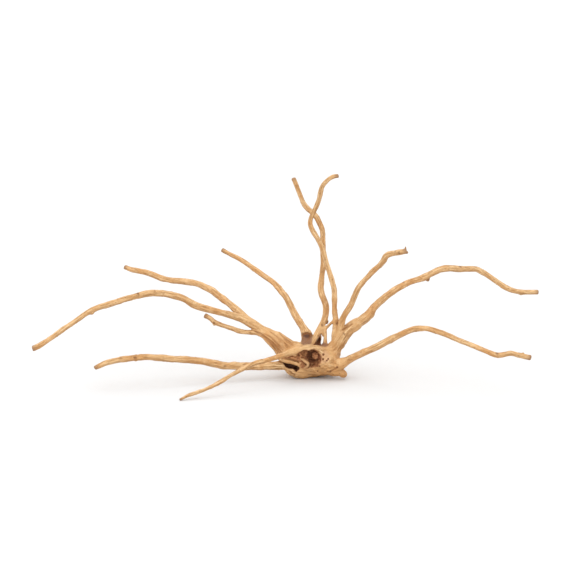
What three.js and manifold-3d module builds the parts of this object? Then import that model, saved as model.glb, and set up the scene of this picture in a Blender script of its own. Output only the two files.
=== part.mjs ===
// A spiderwood root: one grown piece of debarked wood, in millimetres, +Z up.
// The origin is on the small flat spot that the stump rests on, below the stump's middle.
// +X runs to the right of the front view, and the front faces -Y.
import * as THREE from "three";
import { MarchingCubes } from "three/addons/objects/MarchingCubes.js";
import { mergeVertices } from "three/addons/utils/BufferGeometryUtils.js";
import Module from "manifold-3d";

const wasm = await Module();
wasm.setup();

// Driving dimensions.
const STUMP_BLEND = 5; // how far two trunks grow into each other where they meet
const STUMP_CELL = 2.7; // facet size of the stump
const STUMP_SPAN = 128; // edge of the cube that holds the stump and its trunks
const STUMP_CENTRE = [4, 1, 29]; // middle of that cube
const MOST_STUMP_FACETS = 20000;
const LEAST_DEPTH = 0.25; // keeps a facet's corner this far from its neighbour
const ROOT_SIDES = 8;
const ROOT_STEP = 7; // length of one facet along a root
const LEAST_STEPS = 4;
const TWIG_SIDES = 6;
const TWIG_RADIUS = 2.1; // a root thinner than this has fewer sides
const TIP_ROUNDING = 0.45; // a root's end stands out by this share of its radius
const SWELLING = 0.03; // a root thickens and thins by this share of its radius
const SWELLING_LENGTH = 31;
const GROUND_WIDTH = 600;
const GROUND_DEPTH = 40;
const SAME_POINT = 1e-3; // corners closer than this are one corner
const WOOD_COLOUR = 0xd9a66c;

// Each row of a root or a trunk is a point on its middle line and its radius: x, y, z, r.
// The trunks are the thick bases that grow into the stump.
const TRUNKS = {
  body_front: [[-9, -4, 12.3, 12.4], [0, -3.5, 12.9, 12], [11, -3, 15, 10.5]],
  body_back: [[-9, 7, 12, 13.5], [0, 6.5, 12, 13.2], [11, 6, 14.4, 12]],
  left_shoulder: [[-12, -3, 18, 9], [-23, -8, 18.5, 5.5]],
  left_trunk: [[-12, 1, 20, 8], [-20, 3, 25, 5.8], [-27, 5, 29.5, 4.9], [-32, 6, 32.5, 4.2],
    [-38.5, 7, 35.8, 3.4], [-44, 9, 39, 2.8]],
  left_ridge: [[-14, 5, 23.5, 4], [-22, 6, 27.5, 3.2], [-30.5, 7, 34, 2.9], [-38, 8, 36, 2.7]],
  lower_strand: [[-23, -3, 17, 4.4], [-28.5, -1, 21, 3.8], [-34, 1, 27, 3.4], [-40, 3, 33, 2.7]],
  right_trunk: [[14, -1, 18.5, 7.8], [21.6, -1, 29, 5.7], [26, -1, 35.7, 5.9], [32, 1, 42.4, 5.4],
    [38, 2, 46.7, 4.2]],
  saddle: [[-12, 0, 19, 7.5], [0, 0, 20, 6.5], [13, 0, 19.5, 6.5]],
  bark_base: [[-5.5, 7, 23, 5], [-5.3, 9, 31, 4], [-6, 10.5, 35, 3.2]],
  back_wall: [[-3, 9, 26, 4], [3.5, 9, 31, 3.6], [4.6, 9.5, 34, 3]],
  brow: [[12, -6, 21, 5], [2, -9, 25, 4.6], [-8, -11, 25.5, 4.8], [-16, -12, 22.5, 4.5]],
  rim: [[10, -8, 16, 7], [8.5, -12, 22, 4.5], [4, -15.5, 26.8, 3.6], [-1.5, -18, 29.3, 3],
    [-7.7, -20, 30, 2.7], [-14, -22, 29, 2.5], [-21, -25.5, 27.3, 2.4]],
  right_shoulder: [[8, -9, 14, 9.5], [20, -13, 13.5, 5.4], [27, -15.5, 16.5, 3.1]],
  front_stub: [[8, -7, 12, 6.5], [15, -12, 8.9, 3.3], [19.5, -12, 6.9, 3.6], [24, -12, 6, 3.1],
    [26.5, -12.5, 5, 3.3]],
  lower_lip: [[-11, -8, 7.4, 6.5], [-21, -12, 8, 3.4]],
};

const ROOTS = {
  left_long: [[-32, 6, 32.5, 2.6], [-38.5, 7, 36, 3.8], [-45.3, 9, 39.4, 4.1], [-52, 11, 43.6, 4.1],
    [-60, 12, 47.9, 3.6], [-67, 12, 50.8, 3.3], [-76, 11, 53.7, 3], [-87, 9, 57.2, 2.9],
    [-98, 8, 60.3, 3.1], [-105, 7, 63.1, 3.1], [-111, 6, 66.8, 3], [-117, 5, 70.2, 3.1],
    [-124, 3, 72.7, 3.1], [-132, 1, 75, 2.9], [-140, 0, 75.6, 2.8], [-148, -3, 75.6, 2.9],
    [-155, -6, 74.5, 2.8], [-167, -14, 72.6, 2.6], [-178, -20, 70.2, 2.6], [-190, -25, 67.3, 2.6],
    [-198, -28, 63.7, 2.5], [-207, -32, 58, 2.3], [-218, -38, 51.3, 2.2], [-231, -46, 43.3, 2.2],
    [-237.5, -49, 39.6, 2.3], [-242.9, -50.4, 37.4, 2.3]],
  left_upper: [[-49, 11, 42, 1.9], [-56.3, 13, 46.5, 3.2], [-68, 20, 55.5, 3.2], [-74, 23, 60, 3.1],
    [-80, 27, 63.8, 2.9], [-86, 30, 67.8, 2.9], [-91, 33, 70.8, 2.9], [-98, 36, 73.8, 2.8],
    [-104, 40, 75.5, 2.8], [-111, 44, 76.1, 2.7], [-120, 49, 76.1, 2.7], [-129, 53, 76, 2.6],
    [-137, 57, 76.9, 2.6], [-145, 60, 79.5, 2.6], [-152, 63, 81.2, 2.5], [-160, 66, 82.3, 2.6],
    [-166, 69, 82.8, 2.5], [-171.6, 70.2, 84.8, 2.1]],
  left_twig: [[-36, 2, 29, 2.1], [-40, 3, 33, 2.9], [-45.5, 5, 36.8, 2.6], [-51, 7, 38, 2.3],
    [-56, 9, 37.8, 2.2], [-62, 11, 37.7, 2.1], [-67, 13, 38.4, 2.1], [-73, 16, 39.7, 2.1],
    [-79, 19, 41.2, 2], [-84, 21, 42.4, 2], [-88.5, 22, 44.1, 2.2], [-92, 24, 46.9, 2],
    [-96.7, 25.2, 49.4, 2.1]],
  left_low: [[-16, -7, 12.5, 2.6], [-24, -10, 12.5, 4.1], [-42, -12, 12.2, 3.5], [-56, -14, 12.6, 3.4],
    [-69, -17, 13.4, 3.3], [-79, -19, 14.2, 3.2], [-88, -21, 16.6, 3.2], [-97, -24, 19.2, 3],
    [-108, -26, 21.1, 3], [-126, -31, 23.4, 2.8], [-144, -36, 26.1, 2.7], [-155, -38, 26, 2.7],
    [-162, -40, 25.5, 2.7], [-169, -41, 24.9, 2.6], [-176, -42, 23.7, 2.6], [-182, -43, 22.2, 2.5],
    [-190, -45, 18.8, 1.8]],
  front_left: [[-10, -20.7, 30, 1.2], [-15, -22.5, 28.8, 2.3], [-21, -26, 27.5, 2.5],
    [-26, -30, 26.6, 2.3], [-32, -35.5, 25.9, 2.1], [-42, -44, 25, 2], [-52, -51, 24, 2],
    [-61, -57, 21, 1.9], [-72, -61, 15.8, 1.8], [-84, -69, 10.2, 1.7], [-95, -75, 6.4, 1.6],
    [-107, -81, 3.6, 1.5], [-114.5, -86, 1.1, 1.1]],
  back_left: [[-5.5, 8, 26, 3.1], [-5.5, 10, 34, 4.6], [-7.6, 12, 39.2, 3.7], [-12, 14, 46.1, 3.2],
    [-17, 18, 54, 3], [-20.7, 22, 61, 2.9], [-24.8, 25, 67.5, 2.8], [-27.7, 28, 70.2, 2.6],
    [-31, 30, 74, 2.6], [-37, 35, 79, 2.5], [-43.5, 39, 82.8, 2.4], [-51.2, 44, 87.2, 2.3],
    [-59, 49, 91.8, 2.2], [-66, 53, 95.8, 2.1], [-74, 57, 99, 2], [-82, 60, 102.7, 1.8]],
  tall_back: [[-4, 0, 25.5, 4], [-1, 1, 30, 3.4], [1.5, 3, 33.5, 3.1], [5.5, 6, 40.5, 2.8],
    [8.2, 8, 45, 2.7], [10, 9, 49, 2.7], [11.5, 11, 54, 2.7], [11.7, 12, 58, 2.7],
    [11.2, 12.5, 62.4, 2.7], [9.7, 13, 67, 2.7], [7.7, 15, 72, 2.7], [7, 16, 76, 2.6],
    [7.7, 18, 85, 2.5], [9.2, 20, 99, 2.5], [8.7, 21, 111, 2.5], [8.7, 21.5, 122, 2.5],
    [8.2, 22, 128, 2.4], [5.6, 22.5, 134.8, 2.4], [3, 23, 139.8, 2.3], [-1, 24, 144, 2.3],
    [-6.4, 24, 149, 2.3], [-10.2, 22, 156.1, 2.1], [-12.8, 21, 163.1, 2.1], [-15.4, 20, 169.9, 1.9],
    [-17.4, 20, 174.8, 1.8]],
  tall_front: [[20, 0, 28, 2.6], [20, 1.5, 36, 3.7], [20.6, 2.5, 42, 3.3], [20.4, 4, 48, 2.7],
    [20, 4, 53, 2.5], [19, 4, 59, 2.4], [19, 4, 68, 2.4], [18.7, 5, 78, 2.3], [17.2, 5.5, 83.8, 2.3],
    [15.4, 6, 89.8, 2.3], [13.6, 6.5, 95.8, 2.2], [11.7, 7, 101.4, 2.2], [10.2, 7.5, 107, 2.2],
    [8.7, 8, 113, 2.2], [7, 8, 117, 2.1], [4.5, 8, 122, 2.1], [1.7, 8.5, 126.5, 2.1],
    [-1, 9, 131.2, 2.1], [-2.5, 9.5, 136, 2.1], [-2.3, 10, 140.5, 2.1], [-0.3, 9, 145.5, 2.1],
    [3.6, 6, 154.8, 2], [5.4, 3, 161, 2.1], [6.3, 1, 166, 2.1], [7.3, -1, 170, 2.1], [10, -3, 174.6, 2],
    [14, -6, 179, 2], [18, -7, 181, 1.8], [21, -8, 181.7, 1.7]],
  right_high: [[24, -1, 36, 2.6], [24.7, -2, 45, 3.1], [26, -3, 52, 2.8], [28.5, -5, 58, 2.6],
    [32.5, -7, 64.8, 2.5], [35, -9, 71.3, 2.5], [37, -11, 76.8, 2.5], [39.5, -13, 82.7, 2.5],
    [43, -16, 88.2, 2.4], [47.4, -19, 94.1, 2.3], [52.3, -22, 100.2, 2.4], [57.4, -25.5, 105.6, 2.3],
    [60.6, -28, 110.4, 2.5], [63, -30, 114.9, 2.6], [66, -31, 116.9, 2.6], [70, -33, 118, 2.5],
    [75, -35, 119.3, 2.5], [79.4, -35.8, 120.5, 2.3]],
  right_long: [[32, 1, 42, 2.7], [37, 2, 45.4, 4.6], [41, 2, 48.5, 4.3], [47.3, 4, 52.8, 4.3],
    [51.2, 6, 56.8, 4], [54, 8, 60.5, 3.2], [59, 10, 65.2, 3.1], [66.3, 13, 70.7, 3],
    [74, 16, 75.5, 2.9], [81, 18, 79.1, 2.9], [87.2, 21, 81.3, 2.8], [94.3, 23, 83.2, 2.9],
    [100, 25, 84.8, 3.1], [106.2, 27, 87.6, 2.9], [114, 29, 90.8, 2.9], [122, 31, 91.7, 2.9],
    [132, 34, 90.5, 2.8], [140, 37, 89.9, 2.7], [148, 39, 89.1, 2.6], [152.8, 40, 86.6, 2.5],
    [159, 42, 82.3, 2.4], [166.8, 43, 76.8, 2.4], [174, 44, 71.8, 2.4], [183, 46, 67.8, 2.4],
    [190, 47, 66.3, 2.3], [197, 49, 65.8, 2.2], [204.6, 50, 65.6, 2.1]],
  right_low: [[14, -11, 12, 3.1], [24, -14, 14, 4.3], [31.4, -16, 18.8, 3.4], [39.5, -18, 23.5, 3.1],
    [47, -20, 27.5, 3.1], [54, -22, 31.2, 3.1], [61, -25, 35.6, 3], [67.7, -27, 39.9, 2.9],
    [73.8, -29, 43.3, 2.8], [78.8, -30.5, 46.1, 2.6], [83.3, -32, 48.7, 2.4], [88, -33, 50.5, 2.4],
    [93, -34, 51.3, 2.3], [98, -35, 51.4, 2.3], [103, -36, 50.7, 2.4], [108, -37, 49.3, 2.4],
    [114, -38, 47.4, 2.3], [126, -41, 42.6, 2.2], [138, -44, 38.4, 2.2], [150, -47, 33.7, 2.1],
    [156, -48, 31.5, 2.3], [160, -48.5, 30.8, 2.3], [166, -50, 32, 2.2], [171, -51, 33, 2.1],
    [178, -53, 31.8, 2.2], [187, -55.2, 30.4, 2.1]],
  cross_twig: [[20.5, 3, 51, 1.8], [17.7, 3, 49, 1.4], [15, 4, 46.5, 1.2], [12.4, 5, 43.5, 1.4],
    [9, 6, 41, 1.7]],
  down_twig: [[9, 6, 43, 1.7], [10.6, 4.5, 40.5, 1.6], [11, 3, 37, 1.5], [10.8, 2, 32, 1.6],
    [10.3, 1, 27.5, 2.1], [10, 0, 23, 2.7]],
  web: [[7.5, 6, 42, 1.9], [8.8, 5, 38, 1.7], [9.4, 4, 35.5, 1.2]],
  shelf: [[-30, -12, 19, 1.6], [-25, -17, 18, 1.7], [-18.5, -18.5, 17, 1.7], [-13, -18.5, 15.3, 1.9],
    [-8, -15.5, 12.2, 2.4]],
  flake: [[-14, -13, 24, 1.8], [-11, -18, 20.8, 1.6], [-8, -20, 17.5, 1.6], [-5.5, -19.5, 15, 1.8],
    [-2, -15, 11.5, 2.6]],
};

// Knots, nubs and burrs: a middle, a radius and how far it is drawn out along x, y and z.
const KNOTS = [
  { at: [-194, -27, 63.7], radius: 1.6, stretch: [1.2, 1, 1] }, // under the far left bend
  { at: [-88.5, 22, 42.1], radius: 1.3, stretch: [1, 1, 1] }, // under the left twig's kink
  { at: [50.3, 5, 54], radius: 2.8, stretch: [1.5, 1, 1] }, // step on the right trunk's lower edge
  { at: [103, 26, 82.6], radius: 1.9, stretch: [1, 1, 1] }, // under the right root's bend
  { at: [189, 47, 64.6], radius: 1.1, stretch: [1.4, 1, 1] },
  { at: [181, -53.7, 33.4], radius: 1.2, stretch: [0.8, 1, 1.2] }, // spur by the right low tip
  { at: [79.3, -36, 122.8], radius: 1, stretch: [0.8, 1, 1.8] }, // frayed tip of the right high root
  { at: [80.4, -36, 119], radius: 1.1, stretch: [1.2, 1, 1] },
  { at: [12.4, 9, 47.6], radius: 1.4, stretch: [1, 1, 1.6] }, // broken nub beside the tall root
  { at: [2.6, -12, 21.8], radius: 3.2, stretch: [1, 1.2, 1] }, // swirl in the hollow
  { at: [-155, -38, 26], radius: 2.9, stretch: [0.4, 1, 1] }, // growth ring
];

// The front hollow, as overlapping hollows with different depths, and its arm to the left.
const HOLLOWS = [
  { at: [-0.5, -18, 20.5], size: [7, 11, 8.4] },
  { at: [-8.5, -20, 22.8], size: [6, 9.5, 6] },
  { at: [-5, -20, 14.5], size: [6, 7.5, 3.6] },
  { at: [-18, -20, 20.3], size: [8, 4.5, 1.9] },
];

// Outline of the dark slot, seen from the front as x and z, and how deep it runs into the stump.
const SLOT_OUTLINE = [
  [-26.3, 15.8], [-21.7, 15], [-15.4, 13.8], [-12.8, 12.4], [-12.9, 10.4], [-15, 9], [-16.8, 10.4],
  [-20.9, 10.6], [-24, 12],
];
const SLOT_FRONT = -26;
const SLOT_DEPTH = 18;

// Worm holes on the right of the hollow and below it, seen from the front as x, z and radius.
const WORM_HOLES = [
  [8.9, 23.7, 1.1], [8.6, 19.6, 0.9], [11.9, 18.5, 0.8], [13.2, 19.7, 0.8], [1, 13.6, 0.8],
  [3.4, 13.6, 0.8], [5.6, 13.6, 0.8], [3.8, 8.6, 0.8], [15.4, 8.8, 0.9], [21, 12.8, 0.9],
];
const WORM_HOLE_DEPTH = 3;
const WORM_HOLE_SIDES = 6;
const FAR_IN_FRONT = -200;

// The crease between the left trunk's two strands, and the one along the right trunk.
const CREASES = [
  [[-43, 3.5, 36.4, 0.8], [-38.4, 1.5, 33, 1.1], [-34, -0.5, 28.9, 1.4], [-29.4, -3, 24, 1.5],
    [-25, -6.5, 21, 1.2]],
  [[26, -5.6, 43, 0.7], [29.5, -4.9, 45, 0.9], [34.5, -3, 47.8, 0.8]],
];

// Turns a triangle mesh into a solid that can be joined and cut.
function solid(geometry) {
  const bare = geometry.clone();
  bare.deleteAttribute("normal");
  bare.deleteAttribute("uv");
  const merged = mergeVertices(bare, SAME_POINT);
  return new wasm.Manifold(new wasm.Mesh({
    numProp: 3,
    vertProperties: new Float32Array(merged.attributes.position.array),
    triVerts: new Uint32Array(merged.index.array),
  }));
}

function geometryOf(body) {
  const mesh = body.getMesh();
  const geometry = new THREE.BufferGeometry();
  geometry.setAttribute("position", new THREE.BufferAttribute(mesh.vertProperties, 3));
  geometry.setIndex(new THREE.BufferAttribute(mesh.triVerts, 1));
  const faceted = geometry.toNonIndexed();
  faceted.computeVertexNormals();
  return faceted;
}

// Radius of a route at a share of its length.
function radiusAt(route, curve, share) {
  const place = curve.getUtoTmapping(share) * (route.length - 1);
  const before = Math.min(Math.floor(place), route.length - 2);
  return THREE.MathUtils.lerp(route[before][3], route[before + 1][3], place - before);
}

// A root is a round bar with rounded ends, turned on a lathe and bent along its middle line.
function root(route) {
  const curve = new THREE.CatmullRomCurve3(route.map(([x, y, z]) => new THREE.Vector3(x, y, z)),
    false, "centripetal");
  const length = curve.getLength();
  const steps = Math.max(LEAST_STEPS, Math.round(length / ROOT_STEP));
  const frames = curve.computeFrenetFrames(steps, false);
  const thin = Math.max(...route.map((point) => point[3])) < TWIG_RADIUS;
  const sides = thin ? TWIG_SIDES : ROOT_SIDES;
  const corner = (2 * Math.PI) / sides;
  const cornerRadius = Math.sqrt(corner / Math.sin(corner)); // gives the facets a circle's area
  const profile = [new THREE.Vector2(0, 0)];
  for (let i = 0; i <= steps; i++) {
    const share = i / steps;
    const swelling = 1 + SWELLING * Math.sin((share * length * 2 * Math.PI) / SWELLING_LENGTH);
    profile.push(new THREE.Vector2(radiusAt(route, curve, share) * swelling * cornerRadius, i));
  }
  profile.push(new THREE.Vector2(0, steps));
  const bar = new THREE.LatheGeometry(profile, sides);
  const places = bar.attributes.position;
  for (let i = 0; i < places.count; i++) {
    const station = Math.round(places.getY(i));
    const across = new THREE.Vector2(places.getX(i), places.getZ(i));
    const point = curve.getPointAt(station / steps);
    const atTip = across.length() < SAME_POINT && (station === 0 || station === steps);
    if (atTip) {
      const outward = station === 0 ? -1 : 1;
      const end = station === 0 ? route[0] : route[route.length - 1];
      point.addScaledVector(frames.tangents[station], outward * TIP_ROUNDING * end[3]);
    }
    point.addScaledVector(frames.normals[station], across.x);
    point.addScaledVector(frames.binormals[station], across.y);
    places.setXYZ(i, point.x, point.y, point.z);
  }
  const body = solid(bar);
  return body.volume() < 0 ? solid(turnedInsideOut(bar)) : body;
}

function turnedInsideOut(geometry) {
  const index = geometry.index.array;
  for (let i = 0; i < index.length; i += 3) {
    [index[i + 1], index[i + 2]] = [index[i + 2], index[i + 1]];
  }
  return geometry;
}

// Distance from a point to the nearest of a trunk's tapered lengths, negative inside.
function trunkDistance(point, trunk) {
  let least = Infinity;
  for (let i = 0; i + 1 < trunk.length; i++) {
    const [ax, ay, az, ar] = trunk[i];
    const [bx, by, bz, br] = trunk[i + 1];
    const start = new THREE.Vector3(ax, ay, az);
    const axis = new THREE.Vector3(bx, by, bz).sub(start);
    const toPoint = point.clone().sub(start);
    const share = THREE.MathUtils.clamp(toPoint.dot(axis) / axis.lengthSq(), 0, 1);
    const away = toPoint.addScaledVector(axis, -share).length();
    least = Math.min(least, away - THREE.MathUtils.lerp(ar, br, share));
  }
  return least;
}

// The smaller of two distances, rounded off where they are nearly alike.
function grownTogether(a, b) {
  const overlap = Math.max(STUMP_BLEND - Math.abs(a - b), 0) / STUMP_BLEND;
  return Math.min(a, b) - (overlap * overlap * STUMP_BLEND) / 4;
}

// The stump is where all trunks grow together, as one smooth surface.
function stump() {
  const cells = Math.round(STUMP_SPAN / STUMP_CELL);
  const surface = new MarchingCubes(cells, undefined, false, false, MOST_STUMP_FACETS);
  surface.isolation = 0;
  const half = STUMP_SPAN / 2;
  const trunks = Object.values(TRUNKS);
  const centre = new THREE.Vector3(...STUMP_CENTRE);
  for (let i = 0; i < surface.field.length; i++) {
    const column = i % cells;
    const row = Math.floor(i / cells) % cells;
    const layer = Math.floor(i / (cells * cells));
    const point = new THREE.Vector3(column, row, layer)
      .multiplyScalar(2 / cells).addScalar(-1).multiplyScalar(half).add(centre);
    const distance = trunks.map((trunk) => trunkDistance(point, trunk)).reduce(grownTogether);
    const clear = Math.sign(distance || 1) * Math.max(Math.abs(distance), LEAST_DEPTH);
    surface.field[i] = -clear;
  }
  surface.update();
  const geometry = new THREE.BufferGeometry();
  const corners = surface.positionArray.slice(0, surface.count * 3);
  geometry.setAttribute("position", new THREE.BufferAttribute(corners, 3));
  geometry.scale(half, half, half);
  geometry.translate(...STUMP_CENTRE);
  return solid(geometry);
}

function knot({ at, radius, stretch }) {
  const ball = new THREE.IcosahedronGeometry(radius, 1);
  ball.scale(...stretch);
  ball.translate(...at);
  return solid(ball);
}

function hollow({ at, size }) {
  const ball = new THREE.IcosahedronGeometry(1, 2);
  ball.scale(...size);
  ball.translate(...at);
  return solid(ball);
}

function slot() {
  const outline = new THREE.Shape(SLOT_OUTLINE.map(([x, z]) => new THREE.Vector2(x, z)));
  const bar = new THREE.ExtrudeGeometry(outline, { depth: SLOT_DEPTH, bevelEnabled: false });
  bar.rotateX(Math.PI / 2);
  bar.translate(0, SLOT_FRONT + SLOT_DEPTH, 0);
  return solid(bar);
}

// A worm hole runs in from the first wood that it meets from the front.
function wormHole([x, z, radius], wood) {
  const front = frontOf(wood, x, z);
  const drill = new THREE.CylinderGeometry(radius, radius, 2 * WORM_HOLE_DEPTH, WORM_HOLE_SIDES);
  drill.translate(x, front, z);
  return solid(drill);
}

function frontOf(wood, x, z) {
  const mesh = new THREE.Mesh(geometryOf(wood), new THREE.MeshBasicMaterial({ side: THREE.DoubleSide }));
  const ray = new THREE.Raycaster(new THREE.Vector3(x, FAR_IN_FRONT, z), new THREE.Vector3(0, 1, 0));
  return ray.intersectObject(mesh)[0].point.y;
}

// Everything below the resting plane is cut off flat.
function ground() {
  const slab = new THREE.BoxGeometry(GROUND_WIDTH, GROUND_WIDTH, GROUND_DEPTH);
  slab.translate(0, 0, -GROUND_DEPTH / 2);
  return solid(slab);
}

function spiderwood() {
  let wood = stump();
  for (const shape of HOLLOWS) wood = wood.subtract(hollow(shape));
  for (const route of Object.values(ROOTS)) wood = wood.add(root(route));
  for (const shape of KNOTS) wood = wood.add(knot(shape));
  wood = wood.subtract(slot());
  for (const route of CREASES) wood = wood.subtract(root(route));
  const drills = WORM_HOLES.map((hole) => wormHole(hole, wood));
  for (const drill of drills) wood = wood.subtract(drill);
  return wood.subtract(ground());
}

const material = new THREE.MeshStandardMaterial({ color: WOOD_COLOUR, roughness: 0.72, metalness: 0 });
const mesh = new THREE.Mesh(geometryOf(spiderwood()), material);
mesh.name = "spiderwood_root";

const part = new THREE.Group();
part.add(mesh);

export default part;
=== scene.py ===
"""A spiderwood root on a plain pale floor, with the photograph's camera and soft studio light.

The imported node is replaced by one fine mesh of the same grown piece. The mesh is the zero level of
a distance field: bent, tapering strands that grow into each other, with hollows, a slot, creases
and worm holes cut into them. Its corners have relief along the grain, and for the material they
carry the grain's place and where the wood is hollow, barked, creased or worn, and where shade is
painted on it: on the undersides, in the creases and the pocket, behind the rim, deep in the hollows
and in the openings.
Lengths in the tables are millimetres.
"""

import math

import bpy
import numpy as np
import openvdb
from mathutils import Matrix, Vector


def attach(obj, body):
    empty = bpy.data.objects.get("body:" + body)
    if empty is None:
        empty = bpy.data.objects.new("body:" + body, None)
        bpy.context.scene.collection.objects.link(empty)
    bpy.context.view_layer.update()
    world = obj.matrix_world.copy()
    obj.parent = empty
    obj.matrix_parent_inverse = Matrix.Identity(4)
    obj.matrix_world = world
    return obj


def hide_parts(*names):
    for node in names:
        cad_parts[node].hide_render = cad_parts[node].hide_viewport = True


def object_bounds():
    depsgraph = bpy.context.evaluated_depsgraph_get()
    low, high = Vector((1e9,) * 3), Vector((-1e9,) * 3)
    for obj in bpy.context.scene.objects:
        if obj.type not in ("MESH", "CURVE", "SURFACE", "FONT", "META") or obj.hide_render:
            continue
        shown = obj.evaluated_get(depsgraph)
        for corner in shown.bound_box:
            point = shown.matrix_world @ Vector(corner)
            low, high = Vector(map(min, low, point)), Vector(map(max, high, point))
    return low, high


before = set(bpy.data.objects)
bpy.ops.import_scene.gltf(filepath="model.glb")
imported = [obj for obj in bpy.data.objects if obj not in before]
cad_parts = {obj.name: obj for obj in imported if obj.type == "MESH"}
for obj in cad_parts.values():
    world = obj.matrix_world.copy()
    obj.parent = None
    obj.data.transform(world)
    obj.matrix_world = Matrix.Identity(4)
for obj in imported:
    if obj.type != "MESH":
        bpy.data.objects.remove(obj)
CAD_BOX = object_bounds()

MM = 0.001

# Camera, from the photograph's perspective.
PHOTO_PIXELS = 576
CAMERA_ELEVATION = math.radians(12)
CAMERA_DISTANCE = 1900 * MM
PIXEL_SIZE = 0.893 * MM  # one pixel at the target's distance
CAMERA_TARGET = Vector((-22.3, 16.7, 76.6)) * MM
SENSOR = 36.0  # millimetres

# Light: an even white surround, and two wide, soft lamps: the direction that each shines from, its
# strength and its width.
SURROUND = 1.08
LAMPS = {
    "top_lamp": (Vector((0.0, 0.6, 1.0)), 0.9, math.radians(60)),
    "front_lamp": (Vector((-0.25, -1.0, 0.6)), 1.25, math.radians(110)),
}
FLOOR_WHITE = 0.69
FLOOR_WIDTH = 60  # metres

# First seeds of each kind of strand, and the numbers that the noise's hash mixes with.
TRUNK_SEED, ROOT_SEED, RIDGE_SEED, CREASE_SEED = 0, 50, 90, 120
HASH_FACTORS = (374761393, 668265263, 2147483647, 1274126177)
HASH_BITS = 0xFFFFFFFF
HASH_MOST = 0xFFFF

# The distance field's grid.
CELL = 0.5
BLOCK = 16  # cells along a block's edge
BLOCK_MARGIN = 1.5  # a block is worked out if a strand comes this near
REACH = 3.0  # how far from the surface the field is followed
SAMPLE_STEP = 1.2  # distance between the points that stand for a strand's middle line
MOST_TRIANGLES = 194000
BOX_MARGIN = 0.02  # the wood stays this far inside the solid's box

BODY_BLEND = 5.0  # how far two trunks grow into each other
ROOT_BLEND = 0.6  # how far a root grows into what it leaves, as a share of its radius
RIDGE_BLEND = 1.2
KNOT_BLEND = 1.0
CUT_BLEND = 0.8
SIDEWAYS = (0.3, 0.5, 0.8)  # no strand starts in this direction
TIP_LENGTH = 0.4  # a root's cut end stands out by this share of its radius
TIP_BEVEL = 0.9
CUT_SEGMENTS = 3  # the cut reaches over this many segments at the end
WORN_END = 3.5  # length of the darker wood at a root's end

# Relief along the grain: its height, then its noise's size along the strand and both ways across.
RELIEF = [
    (0.18, (7, 0.9, 0.9)),  # long narrow grooves
    (0.08, (3.5, 0.5, 0.5)),  # fine grooves
    (0.09, (6, math.inf, math.inf)),  # slow thickening and thinning
    (0.12, (4.5, 2.8, 2.8)),  # lumps
]
NUB_HEIGHT = 0.55  # small raised knots
NUB_SIZE = (2.6, 1.7, 1.7)
NUB_SHARE = 0.5  # noise above this makes a knot
STRAND_SEEDS = 7  # seeds that one strand has for its noise
STUMP_RADIUS = 5.5  # strands this thick have the stump's full relief
STUMP_GAIN = 3.2
ROOT_RADIUS = 3.3  # strands up to this thick have the plain grain of a root
ROOT_GRAIN = 0.68  # how clear that grain is, beside the stump's
ROOT_TO_STUMP = 2  # and strands thicker by this have the stump's clear grain
GRAIN_REACH = 3.5
GRAIN_BLEND = 1.2
LEAST_WEIGHT = 0.03  # a strand with less say in a place is left out there

# Columns of the grain's table: the fibre's place along and across, how clear the grain is, the
# relief's height, small knots, worn ends, and how much thicker than a root the strand is.
FIBRE = slice(0, 3)
CLEAR, HEIGHT, KNOT, TIP, THICK = range(3, 8)

# How the hollows' edges wander: how far, the noise's size, how far apart its places for x, y and z
# are, and its first seed.
RAGGED = 0.8
RAGGED_SIZE = 2.6
RAGGED_PLACES = 40
RAGGED_SEED = 300

# Lumps and threads on the hollows' walls: their height, and then size, share and seed of each.
ROUGH_HOLLOW = 0.45
ROUGH_NOISES = [(1.3, 1, 401), (0.7, 0.5, 402)]

# Points on each strand's middle line, with its radius there: x, y, z, r.
TRUNKS = {
    "body_front": [(-9, -4, 12.3, 12.4), (0, -3.5, 12.9, 12), (11, -3, 15, 10.5)],
    "body_back": [(-9, 7, 12, 13.5), (0, 6.5, 12, 13.2), (11, 6, 14.4, 12)],
    "left_shoulder": [(-12, -3, 18, 9), (-23, -8, 18.5, 5.5)],
    "left_trunk": [
        (-12, 1, 20, 8), (-20, 3, 25, 5.8), (-27, 5, 29.5, 4.9), (-32, 6, 32.5, 4.2), (-38.5, 7, 35.8, 3.4),
        (-44, 9, 39, 2.8),
    ],
    "left_ridge": [(-14, 5, 23.5, 4), (-22, 6, 27.5, 3.2), (-30.5, 7, 34, 2.9), (-38, 8, 36, 2.7)],
    "lower_strand": [(-23, -3, 17, 4.4), (-28.5, -1, 21, 3.8), (-34, 1, 27, 3.4), (-40, 3, 33, 2.7)],
    "right_trunk": [
        (14, -1, 18.5, 7.8), (21.6, -1, 29, 5.7), (26, -1, 35.7, 5.9), (32, 1, 42.4, 5.4),
        (38, 2, 46.7, 4.2),
    ],
    "saddle": [(-12, 0, 19, 7.5), (0, 0, 20, 6.5), (13, 0, 19.5, 6.5)],
    "bark_base": [(-5.5, 7, 23, 5), (-5.3, 9, 31, 4), (-6, 10.5, 35, 3.2)],
    "back_wall": [(-3, 9, 26, 4), (3.5, 9, 31, 3.6), (4.6, 9.5, 34, 3)],
    "brow": [(12, -6, 21, 5), (2, -9, 25, 4.6), (-8, -11, 25.5, 4.8), (-16, -12, 22.5, 4.5)],
    "rim": [
        (10, -8, 16, 7), (8.5, -12, 22, 4.5), (4, -15.5, 26.8, 3.6), (-1.5, -18, 29.3, 3),
        (-7.7, -20, 30, 2.7), (-14, -22, 29, 2.5), (-21, -25.5, 27.3, 2.4),
    ],
    "right_shoulder": [(8, -9, 14, 9.5), (20, -13, 13.5, 5.4), (27, -15.5, 16.5, 3.1)],
    "front_stub": [
        (8, -7, 12, 6.5), (15, -12, 8.9, 3.3), (19.5, -12, 6.9, 3.6), (24, -12, 6, 3.1),
        (26.5, -12.5, 5, 3.3),
    ],
    "lower_lip": [(-11, -8, 7.4, 6.5), (-21, -12, 8, 3.4)],
}

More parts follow.
